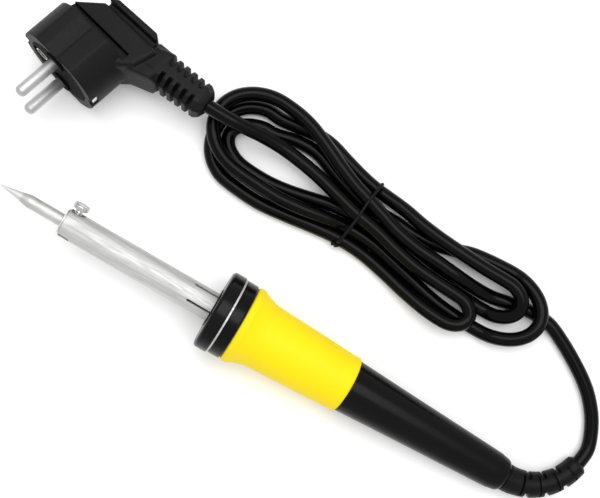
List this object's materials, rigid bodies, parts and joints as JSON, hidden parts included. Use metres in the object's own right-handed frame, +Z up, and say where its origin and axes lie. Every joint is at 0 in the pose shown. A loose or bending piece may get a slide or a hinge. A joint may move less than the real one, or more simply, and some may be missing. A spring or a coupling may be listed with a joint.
{
  "type": "soldering iron",
  "caption": "Mains soldering iron with a straight pointed tip, steel barrel, yellow waisted grip, tapered black handle, and a cord folded in a hank with an angled plug.",
  "frame": {"origin": "the centre of the box round the iron without its cord, at the height of the surface it rests on", "axes": "+X along the iron from its tip to the cord end, +Z up; the folded cord lies on the +Y side"},
  "size_m": [0.2817, 0.1057, 0.0382],
  "materials": {
    "tinned_tip": "bright tin over copper",
    "plated_screw": "zinc plated",
    "barrel_steel": "satin, fine lengthwise polish",
    "inner_steel": "plain",
    "mica": "sheet mica",
    "winding_wire": "oxidised resistance wire",
    "ceramic": "matt",
    "glass_sleeving": "woven glass fibre",
    "black_cap": "satin moulded",
    "brass": "plain",
    "black_handle": "moulded, soft gloss",
    "yellow_grip": "satin soft rubber",
    "brown_core": "plain",
    "blue_core": "plain",
    "green_core": "green and yellow",
    "black_cord": "smooth sheath",
    "black_relief": "moulded",
    "black_tie": "coated wire",
    "black_plug": "moulded",
    "plug_insert": "moulded",
    "plated_pin": "bright nickel plate",
    "earth_metal": "plated"
  },
  "bodies": {
    "iron": {"front_ring": "barrel_steel", "barrel_tube": "barrel_steel", "tip_holder": "inner_steel", "inner_mica": "mica", "heating_winding": "winding_wire", "outer_mica": "mica", "rear_insulator": "ceramic", "heater_leads": "winding_wire", "lead_sleeves": "glass_sleeving", "flange_plate": "barrel_steel", "flange_screws": "plated_screw", "front_cap": "black_cap", "earth_tag": "brass", "handle_shell": "black_handle", "grip_sleeve": "yellow_grip", "terminal_block": "ceramic", "terminal_tubes": "brass", "terminal_screws": "plated_screw", "core_live": "brown_core", "core_neutral": "blue_core", "core_earth": "green_core", "cord_sheath_end": "black_cord", "cord_clamp": "black_cap", "cord_clamp_screws": "plated_screw", "cord_boot": "black_relief", "cord_lead_handle": "black_cord", "cord_hank": "black_cord", "hank_tie": "black_tie", "cord_lead_plug": "black_cord", "plug_body": "black_plug", "plug_insert": "plug_insert", "plug_pin_live": "plated_pin", "plug_pin_neutral": "plated_pin", "plug_earth_strap": "earth_metal", "plug_earth_socket": "earth_metal"},
    "tip": {"soldering_tip": "tinned_tip"},
    "screw": {"clamp_screw": "plated_screw"}
  },
  "joints": [
    {"name": "tip_slide", "type": "slide", "parent": "iron", "child": "tip", "axis": [-0.9971, 0, 0.0758], "range_m": [0, 0.055]},
    {"name": "screw_turn", "type": "hinge", "parent": "iron", "child": "screw", "pos_m": [-0.0842, 0.00589, 0.02347], "axis": [0.0145, 0.9816, 0.1903], "range_deg": [0, 720]}
  ]
}
